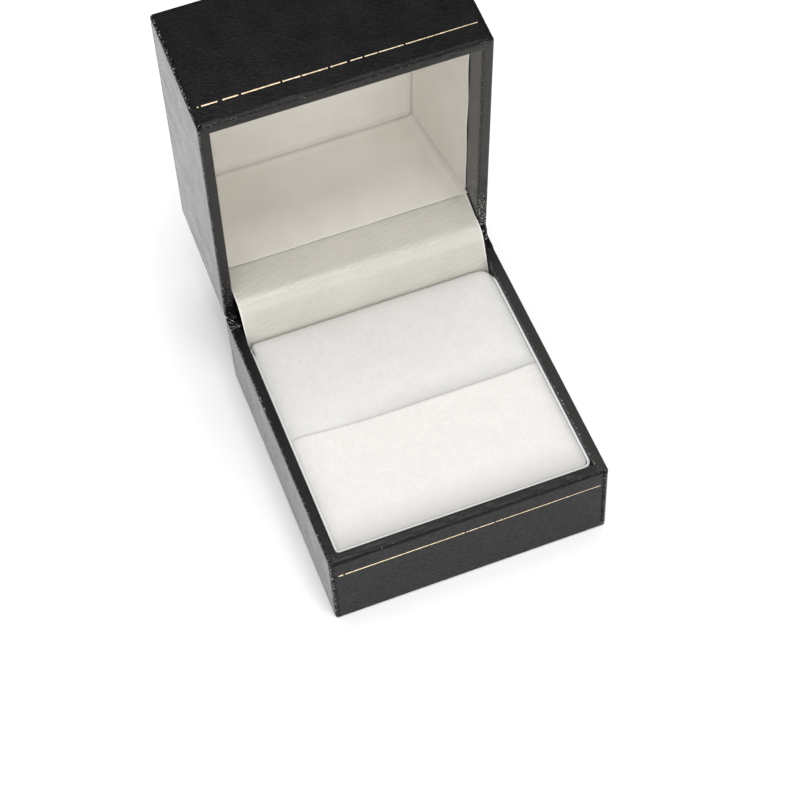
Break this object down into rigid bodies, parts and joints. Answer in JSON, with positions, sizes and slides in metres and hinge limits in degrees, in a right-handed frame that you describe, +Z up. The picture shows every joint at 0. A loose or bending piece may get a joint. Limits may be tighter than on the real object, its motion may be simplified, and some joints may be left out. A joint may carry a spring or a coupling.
{
  "type": "hinged ring box",
  "caption": "Hinged presentation box for a ring: black leatherette case standing open, slotted white velvet pad, ivory lining and hinge cover.",
  "frame": {"origin": "centre of the base's footprint, on the surface it stands on", "axes": "+Z up; +X to the right; +Y to the back, where the hinge is; the opening and the gold line face -Y"},
  "size_m": [0.05, 0.0796, 0.0749],
  "materials": {
    "black_leatherette": "fine pebble grain, satin sheen",
    "ivory_leatherette": "very fine grain, soft satin",
    "white_velvet": "short soft nap",
    "white_tray": "matt moulded",
    "foam": "open cell foam",
    "grey_card": "uncoated board",
    "black_paper": "matt embossed paper",
    "black_moulding": "matt moulded",
    "gold_foil": "hot stamped foil",
    "hinge_steel": "plated, lightly brushed",
    "spring_steel": "blued spring strip",
    "rivet_brass": "dull plated"
  },
  "bodies": {
    "base": {"base_shell": "black_moulding", "base_wrap": "black_leatherette", "base_bottom_sheet": "black_paper", "base_gold_line": "gold_foil", "pad_riser": "grey_card", "pad_tray": "white_tray", "pad_foam_front": "foam", "pad_foam_rear": "foam", "pad_cover_front": "white_velvet", "pad_cover_rear": "white_velvet", "hinge_base_leaf": "hinge_steel", "hinge_pin": "hinge_steel", "hinge_rivets_base": "rivet_brass", "snap_spring": "spring_steel", "hinge_cover": "ivory_leatherette", "spine_strip": "black_leatherette"},
    "lid": {"hinge_lid_leaf": "hinge_steel", "hinge_rivets_lid": "rivet_brass", "lid_shell": "black_moulding", "lid_wrap": "black_leatherette", "lid_gold_line": "gold_foil", "lid_lining_card": "grey_card", "lid_lining": "ivory_leatherette"}
  },
  "joints": [
    {"name": "lid_hinge", "type": "hinge", "parent": "base", "child": "lid", "pos_m": [0, 0.027, 0.01825], "axis": [1, 0, 0], "range_deg": [0, 84.7], "deforming": ["hinge_cover", "spine_strip", "snap_spring"]}
  ]
}
